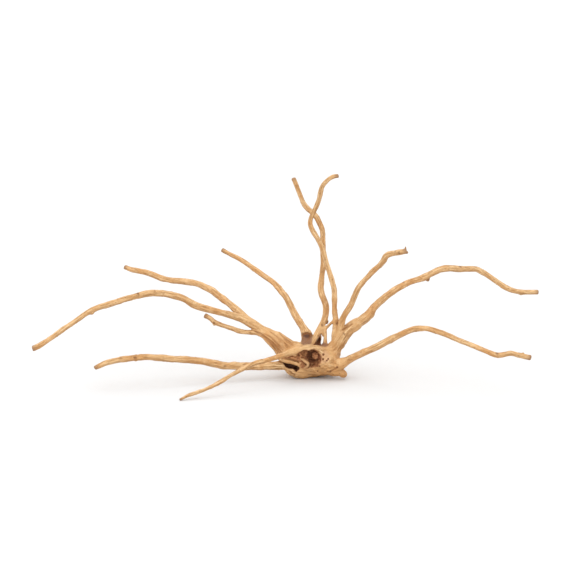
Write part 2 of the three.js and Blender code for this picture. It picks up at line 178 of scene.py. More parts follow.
ROOTS = {
    "left_long": [
        (-32, 6, 32.5, 2.6), (-38.5, 7, 36, 3.8), (-45.3, 9, 39.4, 4.1), (-52, 11, 43.6, 4.1),
        (-60, 12, 47.9, 3.6), (-67, 12, 50.8, 3.3), (-76, 11, 53.7, 3), (-87, 9, 57.2, 2.9),
        (-98, 8, 60.3, 3.1), (-105, 7, 63.1, 3.1), (-111, 6, 66.8, 3), (-117, 5, 70.2, 3.1),
        (-124, 3, 72.7, 3.1), (-132, 1, 75, 2.9), (-140, 0, 75.6, 2.8), (-148, -3, 75.6, 2.9),
        (-155, -6, 74.5, 2.8), (-167, -14, 72.6, 2.6), (-178, -20, 70.2, 2.6), (-190, -25, 67.3, 2.6),
        (-198, -28, 63.7, 2.5), (-207, -32, 58, 2.3), (-218, -38, 51.3, 2.2), (-231, -46, 43.3, 2.2),
        (-237.5, -49, 39.6, 2.3), (-242.9, -50.4, 37.4, 2.3),
    ],
    "left_upper": [
        (-49, 11, 42, 1.9), (-56.3, 13, 46.5, 3.2), (-68, 20, 55.5, 3.2), (-74, 23, 60, 3.1),
        (-80, 27, 63.8, 2.9), (-86, 30, 67.8, 2.9), (-91, 33, 70.8, 2.9), (-98, 36, 73.8, 2.8),
        (-104, 40, 75.5, 2.8), (-111, 44, 76.1, 2.7), (-120, 49, 76.1, 2.7), (-129, 53, 76, 2.6),
        (-137, 57, 76.9, 2.6), (-145, 60, 79.5, 2.6), (-152, 63, 81.2, 2.5), (-160, 66, 82.3, 2.6),
        (-166, 69, 82.8, 2.5), (-171.6, 70.2, 84.8, 2.1),
    ],
    "left_twig": [
        (-36, 2, 29, 2.1), (-40, 3, 33, 2.9), (-45.5, 5, 36.8, 2.6), (-51, 7, 38, 2.3), (-56, 9, 37.8, 2.2),
        (-62, 11, 37.7, 2.1), (-67, 13, 38.4, 2.1), (-73, 16, 39.7, 2.1), (-79, 19, 41.2, 2),
        (-84, 21, 42.4, 2), (-88.5, 22, 44.1, 2.2), (-92, 24, 46.9, 2), (-96.7, 25.2, 49.4, 2.1),
    ],
    "left_low": [
        (-16, -7, 12.5, 2.6), (-24, -10, 12.5, 4.1), (-42, -12, 12.2, 3.5), (-56, -14, 12.6, 3.4),
        (-69, -17, 13.4, 3.3), (-79, -19, 14.2, 3.2), (-88, -21, 16.6, 3.2), (-97, -24, 19.2, 3),
        (-108, -26, 21.1, 3), (-126, -31, 23.4, 2.8), (-144, -36, 26.1, 2.7), (-155, -38, 26, 2.7),
        (-162, -40, 25.5, 2.7), (-169, -41, 24.9, 2.6), (-176, -42, 23.7, 2.6), (-182, -43, 22.2, 2.5),
        (-190, -45, 18.8, 1.8),
    ],
    "front_left": [
        (-10, -20.7, 30, 1.2), (-15, -22.5, 28.8, 2.3), (-21, -26, 27.5, 2.5), (-26, -30, 26.6, 2.3),
        (-32, -35.5, 25.9, 2.1), (-42, -44, 25, 2), (-52, -51, 24, 2), (-61, -57, 21, 1.9),
        (-72, -61, 15.8, 1.8), (-84, -69, 10.2, 1.7), (-95, -75, 6.4, 1.6), (-107, -81, 3.6, 1.5),
        (-114.5, -86, 1.1, 1.1),
    ],
    "back_left": [
        (-5.5, 8, 26, 3.1), (-5.5, 10, 34, 4.6), (-7.6, 12, 39.2, 3.7), (-12, 14, 46.1, 3.2),
        (-17, 18, 54, 3), (-20.7, 22, 61, 2.9), (-24.8, 25, 67.5, 2.8), (-27.7, 28, 70.2, 2.6),
        (-31, 30, 74, 2.6), (-37, 35, 79, 2.5), (-43.5, 39, 82.8, 2.4), (-51.2, 44, 87.2, 2.3),
        (-59, 49, 91.8, 2.2), (-66, 53, 95.8, 2.1), (-74, 57, 99, 2), (-82, 60, 102.7, 1.8),
    ],
    "tall_back": [
        (-4, 0, 25.5, 4), (-1, 1, 30, 3.4), (1.5, 3, 33.5, 3.1), (5.5, 6, 40.5, 2.8), (8.2, 8, 45, 2.7),
        (10, 9, 49, 2.7), (11.5, 11, 54, 2.7), (11.7, 12, 58, 2.7), (11.2, 12.5, 62.4, 2.7),
        (9.7, 13, 67, 2.7), (7.7, 15, 72, 2.7), (7, 16, 76, 2.6), (7.7, 18, 85, 2.5), (9.2, 20, 99, 2.5),
        (8.7, 21, 111, 2.5), (8.7, 21.5, 122, 2.5), (8.2, 22, 128, 2.4), (5.6, 22.5, 134.8, 2.4),
        (3, 23, 139.8, 2.3), (-1, 24, 144, 2.3), (-6.4, 24, 149, 2.3), (-10.2, 22, 156.1, 2.1),
        (-12.8, 21, 163.1, 2.1), (-15.4, 20, 169.9, 1.9), (-17.4, 20, 174.8, 1.8),
    ],
    "tall_front": [
        (20, 0, 28, 2.6), (20, 1.5, 36, 3.7), (20.6, 2.5, 42, 3.3), (20.4, 4, 48, 2.7), (20, 4, 53, 2.5),
        (19, 4, 59, 2.4), (19, 4, 68, 2.4), (18.7, 5, 78, 2.3), (17.2, 5.5, 83.8, 2.3),
        (15.4, 6, 89.8, 2.3), (13.6, 6.5, 95.8, 2.2), (11.7, 7, 101.4, 2.2), (10.2, 7.5, 107, 2.2),
        (8.7, 8, 113, 2.2), (7, 8, 117, 2.1), (4.5, 8, 122, 2.1), (1.7, 8.5, 126.5, 2.1),
        (-1, 9, 131.2, 2.1), (-2.5, 9.5, 136, 2.1), (-2.3, 10, 140.5, 2.1), (-0.3, 9, 145.5, 2.1),
        (3.6, 6, 154.8, 2), (5.4, 3, 161, 2.1), (6.3, 1, 166, 2.1), (7.3, -1, 170, 2.1), (10, -3, 174.6, 2),
        (14, -6, 179, 2), (18, -7, 181, 1.8), (21, -8, 181.7, 1.7),
    ],
    "right_high": [
        (24, -1, 36, 2.6), (24.7, -2, 45, 3.1), (26, -3, 52, 2.8), (28.5, -5, 58, 2.6),
        (32.5, -7, 64.8, 2.5), (35, -9, 71.3, 2.5), (37, -11, 76.8, 2.5), (39.5, -13, 82.7, 2.5),
        (43, -16, 88.2, 2.4), (47.4, -19, 94.1, 2.3), (52.3, -22, 100.2, 2.4), (57.4, -25.5, 105.6, 2.3),
        (60.6, -28, 110.4, 2.5), (63, -30, 114.9, 2.6), (66, -31, 116.9, 2.6), (70, -33, 118, 2.5),
        (75, -35, 119.3, 2.5), (79.4, -35.8, 120.5, 2.3),
    ],
    "right_long": [
        (32, 1, 42, 2.7), (37, 2, 45.4, 4.6), (41, 2, 48.5, 4.3), (47.3, 4, 52.8, 4.3), (51.2, 6, 56.8, 4),
        (54, 8, 60.5, 3.2), (59, 10, 65.2, 3.1), (66.3, 13, 70.7, 3), (74, 16, 75.5, 2.9),
        (81, 18, 79.1, 2.9), (87.2, 21, 81.3, 2.8), (94.3, 23, 83.2, 2.9), (100, 25, 84.8, 3.1),
        (106.2, 27, 87.6, 2.9), (114, 29, 90.8, 2.9), (122, 31, 91.7, 2.9), (132, 34, 90.5, 2.8),
        (140, 37, 89.9, 2.7), (148, 39, 89.1, 2.6), (152.8, 40, 86.6, 2.5), (159, 42, 82.3, 2.4),
        (166.8, 43, 76.8, 2.4), (174, 44, 71.8, 2.4), (183, 46, 67.8, 2.4), (190, 47, 66.3, 2.3),
        (197, 49, 65.8, 2.2), (204.6, 50, 65.6, 2.1),
    ],
    "right_low": [
        (14, -11, 12, 3.1), (24, -14, 14, 4.3), (31.4, -16, 18.8, 3.4), (39.5, -18, 23.5, 3.1),
        (47, -20, 27.5, 3.1), (54, -22, 31.2, 3.1), (61, -25, 35.6, 3), (67.7, -27, 39.9, 2.9),
        (73.8, -29, 43.3, 2.8), (78.8, -30.5, 46.1, 2.6), (83.3, -32, 48.7, 2.4), (88, -33, 50.5, 2.4),
        (93, -34, 51.3, 2.3), (98, -35, 51.4, 2.3), (103, -36, 50.7, 2.4), (108, -37, 49.3, 2.4),
        (114, -38, 47.4, 2.3), (126, -41, 42.6, 2.2), (138, -44, 38.4, 2.2), (150, -47, 33.7, 2.1),
        (156, -48, 31.5, 2.3), (160, -48.5, 30.8, 2.3), (166, -50, 32, 2.2), (171, -51, 33, 2.1),
        (178, -53, 31.8, 2.2), (187, -55.2, 30.4, 2.1),
    ],
    "cross_twig": [
        (20.5, 3, 51, 1.8), (17.7, 3, 49, 1.4), (15, 4, 46.5, 1.2), (12.4, 5, 43.5, 1.4), (9, 6, 41, 1.7),
    ],
    "down_twig": [
        (9, 6, 43, 1.7), (10.6, 4.5, 40.5, 1.6), (11, 3, 37, 1.5), (10.8, 2, 32, 1.6), (10.3, 1, 27.5, 2.1),
        (10, 0, 23, 2.7),
    ],
    "web": [(7.5, 6, 42, 1.9), (8.8, 5, 38, 1.7), (9.4, 4, 35.5, 1.2)],
}

# Thin strands on the stump: ledges, flakes and folds.
RIDGES = {
    "shelf": [(-30, -12, 19, 1.6), (-25, -17, 18, 1.7), (-19.5, -18.7, 17, 1.6), (-15, -18.2, 15.6, 1.3)],
    "shelf_end": [(-15, -18, 15.6, 1.3), (-11.5, -17, 13.6, 1.6), (-7.5, -15, 11.8, 2)],
    "flake": [
        (-10.4, -17, 19.6, 1), (-7.5, -18.7, 18.3, 1.5), (-5, -19.5, 16.4, 1.6), (-4.8, -19.7, 14.2, 1.2),
        (-6.6, -19, 12.8, 1.2), (-7.2, -17.8, 11.2, 1.1), (-5, -17, 10.6, 1.1), (-3.2, -16.5, 11.4, 1.2),
    ],
    "wall_fold": [
        (-13, -13, 25, 1.2), (-11, -14.5, 22.5, 1.2), (-12.3, -15.5, 19, 1.2), (-10.5, -16, 15.5, 1.4),
        (-8.5, -14.5, 12.5, 1.4),
    ],
    "back_fold": [(-9, -9, 25, 1.3), (-7, -10, 20.5, 1.2), (-4.5, -9.5, 16, 1.3)],
    "arm_thread": [
        (-28, -17.5, 20.6, 0.7), (-23, -17, 21, 0.6), (-18, -17, 20.2, 0.7), (-14, -16, 18.5, 0.8),
    ],
}

# What share of the hollow's stain these ridges take. The others take all of it.
RIDGE_STAIN = {"shelf": 0.1, "flake": 0.5}
STAIN_REACH = 1.3  # how far the stain goes into the wood round a hollow
CLEAN_REACH = 0.9  # how far from an unstained strand the stain is whole again

# Knots, nubs and burrs: a middle, a radius and how far it is drawn out along x, y and z.
KNOTS = [
    ((-194, -27, 63.7), 1.6, (1.2, 1, 1)), ((-88.5, 22, 42.1), 1.3, (1, 1, 1)),
    ((50.3, 5, 54), 2.8, (1.5, 1, 1)), ((103, 26, 82.6), 1.9, (1, 1, 1)),
    ((189, 47, 64.6), 1.1, (1.4, 1, 1)), ((181, -53.7, 33.4), 1.2, (0.8, 1, 1.2)),
    ((79.3, -36, 122.8), 1, (0.8, 1, 1.8)), ((80.4, -36, 119), 1.1, (1.2, 1, 1)),
    ((12.4, 9, 47.6), 1.4, (1, 1, 1.6)), ((2.6, -12, 21.8), 3.2, (1, 1.2, 1)),
    ((-155, -38, 26), 2.9, (0.4, 1, 1)), ((-31.5, 6.5, 37.6), 1.7, (1.5, 1, 0.8)),
    ((9.6, 6.5, 43.2), 1.3, (1, 1, 1.3)), ((6.6, 4.2, 38.6), 1.3, (1.2, 1, 1)),
    ((3.2, 2, 34), 1.3, (1, 1, 1.2)), ((20.2, 2.2, 50.5), 1.4, (1, 1, 1.5)),
    ((18.4, 1.4, 44.5), 1.1, (1, 1, 1)),
]

# The front hollow, its arm to the left, and the pocket behind the foot of the tall back root: a
# middle and the half sizes of an egg shape.
HOLLOWS = [
    ((-0.5, -18, 20.5), (7, 11, 8.4)),
    ((-8.6, -20, 23.2), (6.4, 9.5, 6.5)),
    ((-5, -20, 14.5), (6, 7.5, 3.6)),
    ((-18, -20, 20.3), (8, 4.5, 1.9)),
    ((5, 3.5, 31), (2.3, 5, 3.8)),
]

# Outline of the slot, painted dark inside as shade, seen from the front as x and z, and how far back
# in y it goes.
SLOT_OUTLINE = [
    (-26.3, 15.8), (-21.7, 15), (-15.4, 13.8), (-12.8, 12.4), (-12.9, 10.4), (-15, 9), (-16.8, 10.4),
    (-20.9, 10.6), (-24, 12),
]
SLOT_BACK = -8
SLOT_ROUNDING = 1.1
SLOT_BOX = ((-19.5, -17, 12), (7, 9, 4))  # its middle and half sizes

# Worm holes, seen from the front as x, z and radius. Each runs in from the first wood that it meets.
WORM_HOLES = [
    (8.9, 23.7, 0.8), (8.6, 19.6, 0.7), (11.9, 18.5, 0.6), (13.2, 19.7, 0.5), (1, 13.6, 0.8),
    (3.4, 13.6, 0.8), (5.6, 13.6, 0.7), (3.8, 8.6, 0.5), (15.4, 8.8, 0.6), (21, 12.8, 0.6),
]
WORM_HOLE_DEPTH = 1.2

# Where the search along y for the wood's surface starts: in front of the stump, between the front
# left root and the left trunk, or behind the stump. It ends on the other side.
FRONT = -45
INNER = -12
BACK = 40
SEARCH_END = 25
SEARCH_STEP = 0.2

# Creases between the strands and in the stump. Each has the start of the search, and then its
# points as x, z and radius.
CREASES = {
    "left_strands": (INNER, [
        (-52.6, 40, 0.5), (-48.6, 38.4, 0.9), (-44.6, 36.1, 1.2), (-40.1, 32.8, 1.5), (-35.6, 29.2, 1.9),
        (-31.6, 25, 1.9), (-28.1, 22, 1.4),
    ]),
    "left_fine": (INNER, [
        (-45.5, 38.9, 0.3), (-41.4, 37.1, 0.4), (-37.7, 35.3, 0.6), (-33.9, 31.9, 0.8), (-30.3, 28.1, 0.8),
        (-26.7, 24.6, 0.6),
    ]),
    "left_upper": (INNER, [(-38.3, 39.4, 0.3), (-33.9, 36.7, 0.4), (-28.5, 32.6, 0.4), (-23.2, 28.6, 0.3)]),
    "left_edge": (INNER, [(-29.4, 37.3, 0.3), (-25.9, 34.7, 0.6), (-22.3, 32, 0.6), (-18.7, 29.7, 0.4)]),
    "right_fork": (FRONT, [(26, 43, 0.5), (29.5, 45, 0.6), (34.5, 47.8, 0.5)]),
    "slot_lip": (FRONT, [(-22, 8.4, 0.5), (-19.2, 6.6, 0.7), (-16.6, 4.4, 0.6)]),
    "stub_foot": (FRONT, [(12.2, 8.2, 0.3), (15.8, 8.8, 0.4), (19.2, 10.6, 0.5), (21.9, 12.4, 0.4)]),
    "under_fold": (FRONT, [(-4, 4.6, 0.3), (0, 4, 0.5), (5, 3.9, 0.5), (10.5, 5.2, 0.4)]),
    "bark_edge": (FRONT, [(-10, 34.4, 0.5), (-8, 36.8, 0.7), (-5, 37.6, 0.8), (-2.2, 36.2, 0.6)]),
    "back_left_trunk": (BACK, [
        (-38, 35, 0.4), (-31, 30.5, 0.9), (-24, 24, 1.3), (-17, 17.5, 1.3), (-10, 13, 0.9), (-3, 10.5, 0.5),
    ]),
    "back_right_trunk": (BACK, [
        (27, 36, 0.5), (21.5, 28.5, 1), (15.5, 22, 1.2), (8, 18.5, 1), (0, 17.5, 0.5),
    ]),
    "back_middle": (BACK, [(-13, 25.5, 0.4), (-8, 22.5, 0.9), (-3, 21, 0.9), (1, 23.5, 0.5)]),
    "back_low": (BACK, [(-18, 9, 0.4), (-9, 6.5, 0.8), (2, 5.5, 0.8), (11, 8, 0.5)]),
}
CREASE_BLEND = 0.7
CREASE_SINK = 0.1  # a crease's middle line lies this far below the surface

# A whorl of grain in the hollow: its middle in x and z, its reach and the width of one ring.
WHORL = (2.6, 21.8)
WHORL_REACH = 3.4
WHORL_RING = 1.5
WHORL_HEIGHT = 0.3
WHORL_BACK = -5  # it ends at this y
WHORL_STEEPNESS = 3  # how steeply its rings die out at its reach

# Patches of egg shapes for the material: old bark, with painted shade on the brow behind the rim;
# the bark's darkest top, with painted shade in the pocket behind the tall back root; the worm-eaten cheek.
EGG_PATCHES = {
    "bark_and_shade": [((-5.6, 3, 31.6), (5.4, 9, 6.2)), ((7, -1, 28), (8, 6.5, 3.2))],
    "bark_top_and_pocket_shade": [((-5.4, 4, 36.2), (5.6, 9, 2.2)), ((5, 3.5, 31), (2.6, 6, 4.2))],
    "cheek": [((9, -15, 20.5), (6, 6, 6))],
}
PATCH_FADE = 1.2  # a patch fades over this width, with its outline in the middle
OPENING_SHADE_FADE = 0.7  # how far the painted shade of the slot and the worm holes reaches into the wood
CREASE_SHADE_FADE = 0.6  # how far a crease's brown reaches: a stain along it, and painted shade in it
CREASE_SHADE_SHARE = 0.8  # how brown its middle is
SPOT_SIZE = 1.6  # a spot fades to nothing at this many of its radii
PATCHES = ("hollow", "deep_hollow_shade", "slot", "hole_shade", "spot", "crease", *EGG_PATCHES)

# A place also gets the crease's brown as painted shade where the wood falls away by less than this
# share of a step in front of it, and fully so from this much less.
OPEN_STEP = 1.6
OPEN_SHARE = 0.8
OPEN_FADE = 0.6

# Dark spots where a rootlet broke off: a middle and a radius.
SPOTS = [
    ((12.9, 8, 47.6), 1.6), ((0.2, 1, 31.1), 1), ((-1.4, 1, 27.2), 1.1), ((27.6, -6, 39.8), 1),
    ((132.5, 32.7, 92.8), 1.2), ((80.7, 16.7, 81.6), 0.9), ((103.6, 24.6, 82.3), 1.2),
    ((-155.5, -40.9, 26.8), 1.2), ((-168, -42.9, 26.6), 1.1), ((-77.9, -22, 14.6), 0.9),
    ((158.8, -49.7, 32.8), 1.1), ((72.2, -30.7, 44.6), 0.9), ((70.4, -35, 119.8), 0.9),
    ((73.8, -37, 119), 0.8), ((-154.7, -7.5, 76.8), 1.1), ((-88.8, 19.8, 43.8), 1),
    ((15.9, 3.7, 52.1), 0.8), ((18.6, 0.3, 43.7), 0.8), ((15.1, -16.6, 7.9), 1),
    ((3.7, -13.6, 7.9), 0.9), ((21.4, -18.1, 14.5), 0.8), ((21, -15.2, 11.9), 0.8),
    ((10.8, -17.9, 17.2), 0.9), ((8.4, 5.2, 45.2), 1), ((5, 2, 36.5), 0.9), ((2.2, -0.8, 30), 1),
    ((21.4, 1.4, 47.6), 0.9),
]

# Painted shade: the wood is browner where it faces down, from this upward share of its direction on.
UNDERSIDE_SHADE_START = 0.15

# Painted shade deep in the hollows: darkest from this y back, and fully so after this much more.
DEEP_SHADE_START = -11
DEEP_SHADE_LENGTH = 4.0

# Colours of the wood's surface, as red, green and blue from 0 to 255.
PALE_GRAIN = (236, 202, 154)
MIDDLE_GRAIN = (207, 165, 114)
BROWN_GRAIN = (160, 108, 57)
ORANGE_TONE = (196, 142, 84)
HOLLOW_BROWN = (186, 130, 86)
HOLLOW_DARK = (124, 70, 42)
# painted shade deep in the hollows and in the slot
DEEP_SHADE_DARK = (92, 48, 28)
# painted shade in and round the worm holes
HOLE_SHADE_BROWN = (132, 84, 50)
# bark, with painted shade behind the rim and in the pocket
BARK_AND_SHADE_BROWN = (124, 84, 62)
BARK_TOP_AND_POCKET_SHADE_DARK = (72, 38, 24)
TIP_BROWN = (150, 110, 76)
# brown of the knots, and of the creases: a stain along them and painted shade in them
KNOT_AND_CREASE_SHADE_BROWN = (146, 92, 44)
SPOT_BROWN = (112, 70, 36)
CHEEK_PINK = (208, 163, 122)

# Noises of the material. Along the grain: their scale along and across it, detail and roughness.
# In the wood as a whole: their scale, detail and roughness.
GRAIN_NOISES = {
    "streaks": (0.06, 0.75, 4, 0.55),
    "lines": (0.045, 1.9, 2, 0.7),
    "fine": (0.2, 2.6, 3, 0.65),
    "specks": (0.4, 1.0, 2, 0.7),
}
WOOD_NOISES = {"tone": (42, 3, 0.55), "blotches": (160, 4, 0.6), "pits": (900, 3, 0.6)}

# The colour's layers, each over the ones before it: the noise or patch that it follows, the values
# between which it comes in (or None, to follow it evenly), how much it covers, and its colour.
WOOD_LAYERS = [
    ("streaks", (0.52, 0.36), 0.8, BROWN_GRAIN),
    ("streaks", (0.5, 0.64), 1.0, PALE_GRAIN),
    ("tone", (0.42, 0.68), 0.8, ORANGE_TONE),
    ("blotches", (0.5, 0.72), 0.45, PALE_GRAIN),
    ("fine", (0.46, 0.3), 0.45, BROWN_GRAIN),
    ("lines", (0.55, 0.65), 0.8, BROWN_GRAIN),
    # painted shade on the undersides
    ("under", None, 0.4, BROWN_GRAIN),
    ("cheek", None, 0.6, CHEEK_PINK),
    ("specks", (0.64, 0.72), 0.7, SPOT_BROWN),
    ("knot", (0.25, 0.7), 0.5, KNOT_AND_CREASE_SHADE_BROWN),
    # bark, and painted shade on the brow behind the rim
    ("bark_and_shade", None, 0.85, BARK_AND_SHADE_BROWN),
    # dark top of the bark, and painted shade in the pocket
    ("bark_top_and_pocket_shade", None, 0.85, BARK_TOP_AND_POCKET_SHADE_DARK),
    ("tip", None, 0.8, TIP_BROWN),
    # creases: a brown stain, and painted shade where the wood is closed in
    ("crease", None, 0.7, KNOT_AND_CREASE_SHADE_BROWN),
    ("spot", None, 0.8, SPOT_BROWN),
]
# deep in the hollows, painted shade darkens the colour towards the back
HOLLOW_LAYERS = [("blotches", (0.4, 0.6), 1.0, HOLLOW_BROWN), ("deep_hollow_shade", None, 0.9, DEEP_SHADE_DARK)]
# painted shade in the slot and the worm holes
OPENING_SHADE_LAYERS = [("slot", (0.3, 0.9), 0.95, DEEP_SHADE_DARK), ("hole_shade", (0.3, 0.9), 0.9, HOLE_SHADE_BROWN)]
ONLY_WHERE_CLEAR = ("streaks", "lines")  # these layers fade where the grain isn't clear

# How much the hollow's colour covers, how rough the wood is by its streaks, and how much rougher the
# hollow is: two values of what it follows, and what comes of the one and of the other.
HOLLOW_COVER = (0.25, 0.9, 0.0, 0.92)
STREAK_ROUGHNESS = (0.35, 0.65, 0.64, 0.5)
HOLLOW_ROUGHER = (0.2, 0.8, 0.0, 0.25)
SPECULAR = 0.35

# The fine relief in the shader: the share of the streaks, the edge of the lines, the share of the
# pits, and how strong and how deep it all is.
BUMP_STREAKS = 1.6
BUMP_LINES = (0.56, 0.66)
BUMP_PITS = 0.6
BUMP_STRENGTH = 0.8
BUMP_DEPTH = 0.4 * MM


def fading(gap, width, start=1.0):
    """A share from 0 to 1 that falls from its start, at no gap, by 1 over a width."""
    return np.clip(start - gap / width, 0, 1)


def strand_points(route):
    """Points on a smooth (centripetal Catmull-Rom) curve through a route, each with its radius."""
    points = np.array(route, float)
    before = np.vstack([2 * points[0] - points[1], points[:-1]])
    after = np.vstack([points[1:], 2 * points[-1] - points[-2]])
    out = []
    for p0, p1, p2, p3 in zip(before, points, points[1:], after[1:]):
        d0, d1, d2 = (math.sqrt(np.linalg.norm((b - a)[:3])) for a, b in ((p0, p1), (p1, p2), (p2, p3)))
        t1 = ((p1 - p0) / d0 - (p2 - p0) / (d0 + d1) + (p2 - p1) / d1) * d1
        t2 = ((p2 - p1) / d1 - (p3 - p1) / (d1 + d2) + (p3 - p2) / d2) * d1
        count = max(1, math.ceil(np.linalg.norm((p2 - p1)[:3]) / SAMPLE_STEP))
        t = (np.arange(count) / count)[:, None]
        out.append((2 * t**3 - 3 * t**2 + 1) * p1 + (t**3 - 2 * t**2 + t) * t1
                   + (3 * t**2 - 2 * t**3) * p2 + (t**3 - t**2) * t2)
    out.append(points[-1:])
    return np.vstack(out)


def hashed(x, y, z, seed):
    """A number up to HASH_MOST for each lattice point, always the same for the same place."""
    fx, fy, fz, fs = HASH_FACTORS
    h = (x * fx + y * fy + z * fz + seed * fs) & HASH_BITS
    h = ((h ^ (h >> 13)) * fs) & HASH_BITS
    return (h ^ (h >> 16)) & HASH_MOST


def lattice_noise(points, seed):
    """Smooth noise from -1 to 1 at each point, with a wavelength of about 2 units."""
    cell = np.floor(points).astype(np.int64)
    share = points - cell
    share = share * share * (3 - 2 * share)
    total = np.zeros(len(points))
    for step in np.ndindex(2, 2, 2):
        wx, wy, wz = np.where(step, share, 1 - share).T
        x, y, z = (cell + step).T
        total += wx * wy * wz * (hashed(x, y, z, seed) / (HASH_MOST / 2) - 1)
    return total


def between(values, which, place):
    """Values at places along segments, from those at the segments' two ends."""
    return values[which] + (values[which + 1] - values[which]) * place


class Strand:
    """A bent, tapering strand: its middle line, radii, lengths and a frame across it."""

    def __init__(self, name, route, blend, seed):
        self.name = name
        self.blend = blend
        self.seed = seed
        self.points = strand_points(route)
        self.middle = self.points[:, :3]
        self.radius = self.points[:, 3]
        gaps = np.linalg.norm(np.diff(self.middle, axis=0), axis=1)
        self.along = np.concatenate([[0], np.cumsum(gaps)])
        tangents = np.gradient(self.middle, axis=0)
        self.tangents = tangents / np.linalg.norm(tangents, axis=1, keepdims=True)
        side = np.cross(self.tangents[0], SIDEWAYS)
        sides = []
        for tangent in self.tangents:
            side = side - tangent * (side @ tangent)
            side = side / np.linalg.norm(side)
            sides.append(side)
        self.sides = np.array(sides)
        self.ups = np.cross(self.tangents, self.sides)

    def near(self, low, high, reach):
        """Indices of the segments whose surface may be within reach of a box."""
        a, b = self.middle[:-1], self.middle[1:]
        r = np.maximum(self.radius[:-1], self.radius[1:]) + reach
        lowest = np.minimum(a, b) - r[:, None]
        highest = np.maximum(a, b) + r[:, None]
        return np.nonzero(((lowest <= high) & (highest >= low)).all(1))[0]

    def distance(self, points, segments):
        """Distance to the strand's surface, and the nearest segment and place along it."""
        a = self.middle[segments]
        axis = self.middle[segments + 1] - a
        square = (axis * axis).sum(1)
        share = (points @ axis.T - (a * axis).sum(1)) / square
        np.clip(share, 0, 1, out=share)
        best = np.full(len(points), np.inf)
        which = np.zeros(len(points), int)
        place = np.zeros(len(points))
        for j in range(len(segments)):
            nearest = a[j] + share[:, j, None] * axis[j]
            away = np.sqrt(((points - nearest) ** 2).sum(1))
            r0, r1 = self.radius[segments[j]], self.radius[segments[j] + 1]
            gap = away - (r0 + (r1 - r0) * share[:, j])
            closer = gap < best
            best[closer] = gap[closer]
            which[closer] = segments[j]
            place[closer] = share[closer, j]
        return best, which, place

    def fibre(self, points, which, place):
        """Lengths along and across the strand, its radius there, and how near its end is."""
        offset = points - between(self.middle, which, place[:, None])
        along = between(self.along, which, place)
        radius = between(self.radius, which, place)
        side = (offset * self.sides[which]).sum(1)
        up = (offset * self.ups[which]).sum(1)
        left = self.along[-1] - along
        end = fading(left, WORN_END) * (self.name in ROOTS)
        return np.stack([along, side, up], 1), radius, end

    def cut_tips(self, points, gap, which):
        """The distance with the strand's far end cut off, as a broken or sawn root is."""
        last = len(self.middle) - 2
        if self.name not in ROOTS or which.max() < last:
            return gap
        outward = (points - self.middle[-1]) @ self.tangents[-1] - TIP_LENGTH * self.radius[-1]
        return np.where(which > last - CUT_SEGMENTS, -grown_together(-gap, -outward, TIP_BEVEL), gap)


def grown_together(a, b, blend):
    """The smaller of two distances, with a rounded join between their surfaces."""
    overlap = np.maximum(blend - np.abs(a - b), 0) / blend
    return np.minimum(a, b) - overlap * overlap * blend / 4


def cut_away(a, b, blend):
    return -grown_together(-a, b, blend)


def egg_distance(points, middle, size):
    local = (points - np.array(middle)) / np.array(size)
    length = np.sqrt((local**2).sum(1))
    return (length - 1) * min(size)


def nearest_egg(points, eggs):
    return np.min([egg_distance(points, middle, size) for middle, size in eggs], axis=0)


def outline_distance(x, z, outline):
    """Distance from points to a closed outline, negative inside it."""
    nearest = np.full(len(x), np.inf)
    inside = np.zeros(len(x), bool)
    for (ax, az), (bx, bz) in zip(outline, outline[1:] + outline[:1]):
        run, rise = bx - ax, bz - az
        share = np.clip(((x - ax) * run + (z - az) * rise) / (run * run + rise * rise), 0, 1)
        nearest = np.minimum(nearest, np.hypot(x - ax - run * share, z - az - rise * share))
        if rise:
            crosses = (az > z) != (bz > z)
            inside ^= crosses & (x < ax + run * (z - az) / rise)
    return np.where(inside, -nearest, nearest)


def box_reaches(low, high, middle, size):
    """True if a box comes near an egg shape's box."""
    middle, size = np.array(middle), np.array(size)
    return ((low < middle + size + REACH) & (high > middle - size - REACH)).all()


def wandering(points):
    """The points, moved a little, so that what is cut there has uneven edges."""
    places = points / RAGGED_SIZE
    moves = [lattice_noise(places + RAGGED_PLACES * i, RAGGED_SEED + i) for i in range(3)]
    return points + RAGGED * np.stack(moves, 1)


def strands_of(routes, first_seed, blend=None):
    """The strands of a table. Without a blend, each grows in by a share of its own radius."""
    strands = []
    for i, (name, route) in enumerate(routes.items()):
        own_blend = blend or ROOT_BLEND * max(row[3] for row in route)
        strands.append(Strand(name, route, own_blend, first_seed + i))
    return strands


TRUNK_STRANDS = strands_of(TRUNKS, TRUNK_SEED, BODY_BLEND)
ROOT_STRANDS = strands_of(ROOTS, ROOT_SEED)
RIDGE_STRANDS = strands_of(RIDGES, RIDGE_SEED, RIDGE_BLEND)
STRANDS = TRUNK_STRANDS + ROOT_STRANDS + RIDGE_STRANDS


def near_strands(strands, points, low, high, reach=REACH):
    """Each strand near a box, with the points' distance to it, nearest segment and place along it."""
    for strand in strands:
        segments = strand.near(low, high, reach)
        if len(segments):
            yield strand, *strand.distance(points, segments)


def joined(total, strands, points, low, high):
    """The field with some strands grown into it."""
    for strand, gap, which, _ in near_strands(strands, points, low, high):
        total = grown_together(total, strand.cut_tips(points, gap, which), strand.blend)
    return total


def hollow_distance(points, low, high):
    """Distance to the hollows in the stump's front, or None where they are far away."""
    near = [egg for egg in HOLLOWS if box_reaches(low, high, *egg)]
    return nearest_egg(wandering(points), near) if near else None


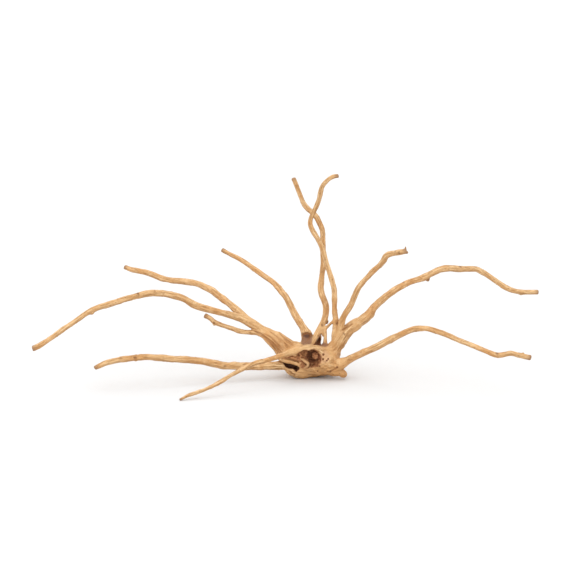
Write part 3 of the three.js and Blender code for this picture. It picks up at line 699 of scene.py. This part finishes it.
def solid_distance(points, low, high):
    """The field of the wood before the slot, the creases and the worm holes are cut."""
    total = np.full(len(points), REACH + CELL * 2)
    total = joined(total, TRUNK_STRANDS, points, low, high)
    hollow = hollow_distance(points, low, high)
    if hollow is not None:
        total = cut_away(total, hollow, CUT_BLEND)
    total = joined(total, ROOT_STRANDS, points, low, high)
    total = joined(total, RIDGE_STRANDS, points, low, high)
    for middle, radius, stretch in KNOTS:
        size = np.array(stretch) * radius
        if box_reaches(low, high, middle, size):
            total = grown_together(total, egg_distance(points, middle, size), KNOT_BLEND)
    return total


def met_from(start, x, z):
    """Where a line along y first meets the wood: from the front if start is negative, else the back."""
    way = 1 if start < 0 else -1
    y = np.arange(start, way * SEARCH_END, way * SEARCH_STEP)
    points = np.stack([np.full(len(y), x), y, np.full(len(y), z)], 1)
    inside = solid_distance(points, points.min(0), points.max(0)) < 0
    return y[np.argmax(inside)] if inside.any() else None


def crease_routes():
    routes = {}
    for name, (start, row) in CREASES.items():
        sink = CREASE_SINK if start < 0 else -CREASE_SINK
        routes[name] = [(x, met_from(start, x, z) + sink, z, radius) for x, z, radius in row]
    return routes


CREASE_STRANDS = strands_of(crease_routes(), CREASE_SEED, CREASE_BLEND)
DRILLED = [(x, met_from(FRONT, x, z), z, radius) for x, z, radius in WORM_HOLES]


def slot_distance(points):
    """Distance to the slot, which runs straight back from in front of the stump."""
    across = outline_distance(points[:, 0], points[:, 2], SLOT_OUTLINE)
    return np.maximum(across, points[:, 1] - SLOT_BACK) - SLOT_ROUNDING / 2


def holes_distance(points, low, high):
    """Distance to the nearest worm hole, or REACH where there is none near."""
    nearest = np.full(len(points), REACH)
    for x, y, z, radius in DRILLED:
        if box_reaches(low, high, (x, y, z), (radius, WORM_HOLE_DEPTH, radius)):
            across = np.hypot(points[:, 0] - x, points[:, 2] - z) - radius
            along = np.abs(points[:, 1] - y) - WORM_HOLE_DEPTH
            nearest = np.minimum(nearest, np.maximum(across, along))
    return nearest


def wood_distance(points, low, high):
    """The distance field of the whole root at points inside a box."""
    total = solid_distance(points, low, high)
    for _, gap, _, _ in near_strands(CREASE_STRANDS, points, low, high):
        total = cut_away(total, gap, CREASE_BLEND)
    if box_reaches(low, high, *SLOT_BOX):
        total = cut_away(total, slot_distance(wandering(points)), CUT_BLEND / 2)
    total = cut_away(total, holes_distance(points, low, high), CUT_BLEND / 2)
    return np.maximum(total, -points[:, 2])


def surface():
    """Corners and quads of the field's zero level, in millimetres."""
    grid = openvdb.FloatGrid(REACH)
    edge = BLOCK * CELL
    wanted = set()
    for strand in STRANDS:
        for point in strand.points:
            lowest = np.floor((point[:3] - point[3] - BLOCK_MARGIN) / edge).astype(int)
            highest = np.floor((point[:3] + point[3] + BLOCK_MARGIN) / edge).astype(int)
            for offset in np.ndindex(*(highest - lowest + 1)):
                wanted.add(tuple(lowest + offset))
    steps = np.arange(BLOCK) * CELL
    cube = np.stack(np.meshgrid(steps, steps, steps, indexing="ij"), -1).reshape(-1, 3)
    for block in sorted(wanted):
        corner = np.array(block) * edge
        values = wood_distance(cube + corner, corner, corner + edge - CELL)
        grid.copyFromArray(values.reshape((BLOCK,) * 3).astype(np.float32),
                           ijk=tuple(int(n) * BLOCK for n in block))
    corners, quads = grid.convertToQuads(0)
    return corners.astype(float) * CELL, quads.astype(int)


def by_block(points, measure):
    """Measures the points of one block after another, and puts the results together."""
    blocks = np.floor(points / (BLOCK * CELL)).astype(int)
    order = np.lexsort(blocks.T)
    starts = np.nonzero((np.diff(blocks[order], axis=0) != 0).any(1))[0] + 1
    table = None
    for group in np.split(order, starts):
        here = points[group]
        columns = measure(here, here.min(0), here.max(0))
        if table is None:
            table = np.zeros((len(points), *columns.shape[1:]))
        table[group] = columns
    return table


def corner_normals(corners, faces):
    """Unit normals at the corners of a mesh of quads or triangles."""
    across = np.cross(corners[faces[:, -2]] - corners[faces[:, 0]],
                      corners[faces[:, -1]] - corners[faces[:, -3]])
    normals = np.zeros_like(corners)
    for axis in range(3):
        weights = np.repeat(across[:, axis], faces.shape[1])
        normals[:, axis] = np.bincount(faces.ravel(), weights, len(corners))
    return normals / np.maximum(np.linalg.norm(normals, axis=1, keepdims=True), 1e-12)


def strand_relief(strand, fibre, radius):
    """Height of the relief at points given along and across a strand, and its small knots."""
    seed = strand.seed * STRAND_SEEDS
    thick = np.clip(radius / STUMP_RADIUS, 0, 1)
    gain = 1 + (STUMP_GAIN - 1) * thick**2
    height = 0
    for i, (most, size) in enumerate(RELIEF):
        height = height + most * lattice_noise(fibre / size, seed + i)
    nubs = np.maximum(lattice_noise(fibre / NUB_SIZE, seed + len(RELIEF)) - NUB_SHARE, 0)
    return gain * height + NUB_HEIGHT * nubs, nubs / (1 - NUB_SHARE)


def grain(points, low, high):
    """The grain's table at some points, from the strands that they lie in."""
    found = list(near_strands(STRANDS, points, low, high, GRAIN_REACH))
    table = np.zeros((len(points), THICK + 1))
    if not found:
        return table
    gaps = np.array([row[1] for row in found])
    weights = np.exp(-(gaps - gaps.min(0)) / GRAIN_BLEND)
    weights /= weights.sum(0)
    first = weights.argmax(0)
    for i, (strand, gap, which, place) in enumerate(found):
        used = weights[i] > LEAST_WEIGHT
        if not used.any():
            continue
        fibre, radius, end = strand.fibre(points[used], which[used], place[used])
        height, nubs = strand_relief(strand, fibre, radius)
        thick = np.clip((radius - ROOT_RADIUS) / ROOT_TO_STUMP, 0, 1)
        for column, values in ((HEIGHT, height), (KNOT, nubs), (TIP, end), (THICK, thick)):
            table[used, column] += weights[i][used] * values
        mine = used & (first == i)
        table[mine, FIBRE] = fibre[mine[used]]
    # The grain is clear where one strand has nearly all the say, and lost where two have half each.
    table[:, CLEAR] = np.clip((weights.max(0) - 0.5) * 2, 0, 1)
    return table


def whorl(points):
    """Height of the rings in the hollow."""
    away = np.hypot(points[:, 0] - WHORL[0], points[:, 2] - WHORL[1])
    fade = fading(away, WHORL_REACH) * (points[:, 1] < WHORL_BACK)
    rings = np.cos(away * 2 * math.pi / WHORL_RING)
    return WHORL_HEIGHT * rings * np.minimum(fade * WHORL_STEEPNESS, 1)


def nearest_gap(strands, points, low, high):
    """Distance to the nearest of some strands, or REACH where none is near."""
    nearest = np.full(len(points), REACH)
    for _, gap, _, _ in near_strands(strands, points, low, high):
        nearest = np.minimum(nearest, gap)
    return nearest


def hollowed(points, low, high):
    """How much each point is stained as the wall of a hollow, from 0 to 1."""
    hollow = hollow_distance(points, low, high)
    if hollow is None:
        return np.zeros(len(points))
    share = fading(hollow, STAIN_REACH)
    for strand in ROOT_STRANDS + RIDGE_STRANDS:
        stain = 0 if strand.name in ROOTS else RIDGE_STAIN.get(strand.name, 1)
        if stain < 1:
            away = np.clip(nearest_gap([strand], points, low, high) / CLEAN_REACH, 0, 1)
            share = share * (stain + (1 - stain) * away)
    return share


def spotted(points, low, high):
    """How much each point is in a dark spot, from 0 to 1."""
    share = np.zeros(len(points))
    for middle, radius in SPOTS:
        if box_reaches(low, high, middle, (radius,) * 3):
            away = np.linalg.norm(points - np.array(middle), axis=1)
            share = np.maximum(share, fading(away, radius, SPOT_SIZE))
    return share


def patches(points, low, high):
    """Columns of shares, in the order of PATCHES."""
    hollow = hollowed(points, low, high)
    moved = wandering(points)
    slot = slot_distance(moved) if box_reaches(low, high, *SLOT_BOX) else np.full(len(points), REACH)
    holes = holes_distance(points, low, high)
    creases = nearest_gap(CREASE_STRANDS, points, low, high)
    columns = [
        hollow,
        # painted shade deep in the hollows, darkest towards the back
        hollow * np.clip((points[:, 1] - DEEP_SHADE_START) / DEEP_SHADE_LENGTH, 0, 1),
        # painted shade in the slot and round the worm holes
        fading(slot, OPENING_SHADE_FADE),
        fading(holes, OPENING_SHADE_FADE),
        spotted(moved, low, high),
        # brown along the creases: a stain, and painted shade in them
        fading(creases, CREASE_SHADE_FADE, CREASE_SHADE_SHARE),
    ]
    columns += [fading(nearest_egg(moved, eggs), PATCH_FADE, 0.5) for eggs in EGG_PATCHES.values()]
    return np.stack(columns, 1)


def rough_walls(points, low, high):
    """Height of the lumps and threads inside the hollows."""
    share = hollowed(points, low, high)
    if not share.any():
        return share
    lumps = sum(part * lattice_noise(points / size, seed) for size, part, seed in ROUGH_NOISES)
    return ROUGH_HOLLOW * share * lumps


def openness(points, normals):
    """How far the wood falls away in front of each point: near 0 in a crease, 1 on a plain."""
    return by_block(points + normals * OPEN_STEP, wood_distance) / OPEN_STEP


def placed(name, data):
    """A new object in the scene."""
    thing = bpy.data.objects.new(name, data)
    bpy.context.collection.objects.link(thing)
    return thing


def mesh_of(corners, quads, name):
    mesh = bpy.data.meshes.new(name)
    mesh.from_pydata(corners * MM, [], quads, shade_flat=False)
    mesh.validate()
    return mesh


def thinned(mesh):
    """Fewer triangles, with the most taken out where the mesh of quads is nearly flat."""
    worker = placed("worker", mesh)
    fewer = worker.modifiers.new("fewer", "DECIMATE")
    fewer.ratio = MOST_TRIANGLES / (2 * len(mesh.polygons))
    fewer.use_collapse_triangulate = True
    ready = worker.evaluated_get(bpy.context.evaluated_depsgraph_get())
    result = bpy.data.meshes.new_from_object(ready)
    bpy.data.objects.remove(worker)
    return result


def corners_of(mesh):
    corners = np.empty(len(mesh.vertices) * 3)
    mesh.vertices.foreach_get("co", corners)
    return corners.reshape(-1, 3) / MM


def triangles_of(mesh):
    mesh.calc_loop_triangles()
    triangles = np.empty(len(mesh.loop_triangles) * 3, int)
    mesh.loop_triangles.foreach_get("vertices", triangles)
    return triangles.reshape(-1, 3)


def inside_box(corners):
    """The corners, with the few that pass the solid's box moved back to it."""
    lowest = np.array(CAD_BOX[0]) / MM + BOX_MARGIN
    highest = np.array(CAD_BOX[1]) / MM - BOX_MARGIN
    lowest[2] = max(0, lowest[2] - BOX_MARGIN)
    return np.clip(corners, lowest, highest)


def wood_mesh():
    corners, quads = surface()
    normals = corner_normals(corners, quads)
    height = by_block(corners, grain)[:, HEIGHT] + whorl(corners) + by_block(corners, rough_walls)
    corners = inside_box(corners + normals * height[:, None])
    mesh = thinned(mesh_of(corners, quads, "spiderwood"))
    mesh.vertices.foreach_set("co", (inside_box(corners_of(mesh)) * MM).ravel())
    mark(mesh)
    return mesh


def mark(mesh):
    """Stores at each corner what the material needs to know about the wood there."""
    corners = corners_of(mesh)
    normals = corner_normals(corners, triangles_of(mesh))
    table = by_block(corners, grain)
    places = by_block(corners, patches)
    # Painted shade where the wood is closed in, as in a crease.
    occluded_shade = np.clip((OPEN_SHARE - openness(corners, normals)) / OPEN_FADE, 0, 1)
    fibre = mesh.attributes.new("fibre", "FLOAT_VECTOR", "POINT")
    fibre.data.foreach_set("vector", table[:, FIBRE].astype(np.float32).ravel())
    clear = table[:, CLEAR] * (ROOT_GRAIN + (1 - ROOT_GRAIN) * table[:, THICK])
    columns = {"clear_grain": clear, "knot": table[:, KNOT], "tip": table[:, TIP]}
    # Painted shade: browner where the surface faces down.
    columns["under"] = np.clip(UNDERSIDE_SHADE_START - normals[:, 2], 0, 1)
    columns.update(zip(PATCHES, places.T))
    columns["crease"] = np.maximum(columns["crease"], occluded_shade)
    for name, values in columns.items():
        layer = mesh.attributes.new(name, "FLOAT", "POINT")
        layer.data.foreach_set("value", values.astype(np.float32))


def linear(colour):
    """A colour from 0 to 255 as the shader's linear red, green, blue and alpha, by the sRGB curve."""
    shares = [c / 255 for c in colour]
    return [c / 12.92 if c <= 0.04045 else ((c + 0.055) / 1.055) ** 2.4 for c in shares] + [1]


class Nodes:
    """Adds shader nodes and wires what is given to their inputs."""

    def __init__(self, material):
        self.tree = material.node_tree

    def add(self, kind, settings=(), values=(), **inputs):
        node = self.tree.nodes.new(kind)
        for name, value in dict(settings).items():
            setattr(node, name, value)
        for i, value in enumerate(values):
            self.feed(node.inputs[i], value)
        for name, value in inputs.items():
            self.feed(node.inputs[name.replace("_", " ")], value)
        return node

    def feed(self, socket, value):
        if isinstance(value, bpy.types.NodeSocket):
            self.tree.links.new(value, socket)
        else:
            socket.default_value = value

    def attribute(self, name):
        node = self.add("ShaderNodeAttribute", {"attribute_name": name})
        return node.outputs["Vector"] if name == "fibre" else node.outputs["Fac"]

    def stretched(self, vector, scale):
        node = self.add("ShaderNodeVectorMath", {"operation": "MULTIPLY"}, (vector, scale))
        return node.outputs["Vector"]

    def noise(self, vector, scale, detail, roughness):
        node = self.add("ShaderNodeTexNoise", Vector=vector, Scale=scale, Detail=detail,
                        Roughness=roughness)
        return node.outputs["Fac"]

    def range(self, value, low, high, to_low=0.0, to_high=1.0):
        node = self.add("ShaderNodeMapRange", {"interpolation_type": "SMOOTHSTEP"}, Value=value,
                        From_Min=low, From_Max=high, To_Min=to_low, To_Max=to_high)
        return node.outputs["Result"]

    def math(self, operation, a, b):
        return self.add("ShaderNodeMath", {"operation": operation}, (a, b)).outputs["Value"]

    def mix(self, share, a, b):
        node = self.add("ShaderNodeMix", {"data_type": "RGBA"})
        self.feed(node.inputs["Factor"], share)
        self.feed(node.inputs[6], a)
        self.feed(node.inputs[7], b)
        return node.outputs[2]


def wood_noises(nodes):
    """The noises that the colour, the gloss and the bump follow, by name."""
    fibre = nodes.attribute("fibre")
    place = nodes.add("ShaderNodeTexCoord").outputs["Object"]
    noises = {}
    for name, (along, across, detail, roughness) in GRAIN_NOISES.items():
        noises[name] = nodes.noise(nodes.stretched(fibre, (along, across, across)), 1, detail, roughness)
    for name, (scale, detail, roughness) in WOOD_NOISES.items():
        noises[name] = nodes.noise(place, scale, detail, roughness)
    return noises


def wood_material():
    material = bpy.data.materials.new("bare_wood")
    material.use_nodes = True
    nodes = Nodes(material)
    noises = wood_noises(nodes)
    shader = material.node_tree.nodes["Principled BSDF"]
    nodes.feed(shader.inputs["Base Color"], wood_colour(nodes, noises))
    nodes.feed(shader.inputs["Roughness"], wood_roughness(nodes, noises))
    nodes.feed(shader.inputs["Specular IOR Level"], SPECULAR)
    nodes.feed(shader.inputs["Normal"], wood_bump(nodes, noises))
    return material


def wood_roughness(nodes, noises):
    rough = nodes.range(noises["streaks"], *STREAK_ROUGHNESS)
    return nodes.math("ADD", rough, nodes.range(nodes.attribute("hollow"), *HOLLOW_ROUGHER))


def wood_bump(nodes, noises):
    """Fine grain and pores in the shader's normal."""
    height = nodes.math("MULTIPLY", noises["streaks"], BUMP_STREAKS)
    height = nodes.math("ADD", height, noises["fine"])
    height = nodes.math("SUBTRACT", height, nodes.range(noises["lines"], *BUMP_LINES))
    height = nodes.math("MULTIPLY", height, nodes.attribute("clear_grain"))
    height = nodes.math("ADD", height, nodes.math("MULTIPLY", noises["pits"], BUMP_PITS))
    bump = nodes.add("ShaderNodeBump", Strength=BUMP_STRENGTH, Distance=BUMP_DEPTH, Height=height)
    return bump.outputs["Normal"]


def layered(nodes, noises, colour, layers):
    """A colour with layers over it, each of which covers the ones before it by its share."""
    for name, edge, most, layer in layers:
        source = noises[name] if name in noises else nodes.attribute(name)
        share = nodes.range(source, *edge, 0.0, most) if edge else nodes.math("MULTIPLY", source, most)
        if name in ONLY_WHERE_CLEAR:
            share = nodes.math("MULTIPLY", share, nodes.attribute("clear_grain"))
        colour = nodes.mix(share, colour, linear(layer))
    return colour


def wood_colour(nodes, noises):
    """Grain, slow changes of tone, specks, and the places that differ, painted shade among them, with the
    openings' painted shade last.
    """
    inner = layered(nodes, noises, linear(HOLLOW_DARK), HOLLOW_LAYERS)
    outer = layered(nodes, noises, linear(MIDDLE_GRAIN), WOOD_LAYERS)
    share = nodes.range(nodes.attribute("hollow"), *HOLLOW_COVER)
    return layered(nodes, noises, nodes.mix(share, outer, inner), OPENING_SHADE_LAYERS)


def root_piece():
    piece = placed("spiderwood", wood_mesh())
    piece.data.materials.append(wood_material())
    piece.data.shade_smooth()
    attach(piece, "root")
    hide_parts("spiderwood_root")


def floor():
    bpy.ops.mesh.primitive_plane_add(size=FLOOR_WIDTH)
    plane = bpy.context.object
    plane.name = "floor"
    material = bpy.data.materials.new("pale_floor")
    material.use_nodes = True
    inputs = material.node_tree.nodes["Principled BSDF"].inputs
    inputs["Base Color"].default_value = (FLOOR_WHITE,) * 3 + (1,)
    inputs["Roughness"].default_value = 1.0
    inputs["Specular IOR Level"].default_value = 0.0
    plane.data.materials.append(material)


def camera():
    data = bpy.data.cameras.new("camera")
    data.sensor_width = SENSOR
    data.lens = SENSOR * CAMERA_DISTANCE / (PHOTO_PIXELS * PIXEL_SIZE)
    eye = placed("camera", data)
    view = Vector((0, math.cos(CAMERA_ELEVATION), -math.sin(CAMERA_ELEVATION)))
    eye.location = CAMERA_TARGET - view * CAMERA_DISTANCE
    eye.rotation_euler = view.to_track_quat("-Z", "Y").to_euler()
    bpy.context.scene.camera = eye


def lights():
    world = bpy.data.worlds.new("studio")
    bpy.context.scene.world = world
    world.use_nodes = True
    surround = world.node_tree.nodes["Background"].inputs
    surround["Color"].default_value = (1, 1, 1, 1)
    surround["Strength"].default_value = SURROUND
    for name, (place, strength, width) in LAMPS.items():
        data = bpy.data.lights.new(name, "SUN")
        data.energy = strength
        data.angle = width
        lamp = placed(name, data)
        lamp.location = place
        lamp.rotation_euler = (-place).to_track_quat("-Z", "Y").to_euler()
    bpy.context.scene.view_settings.view_transform = "Standard"


camera()
lights()
floor()
root_piece()
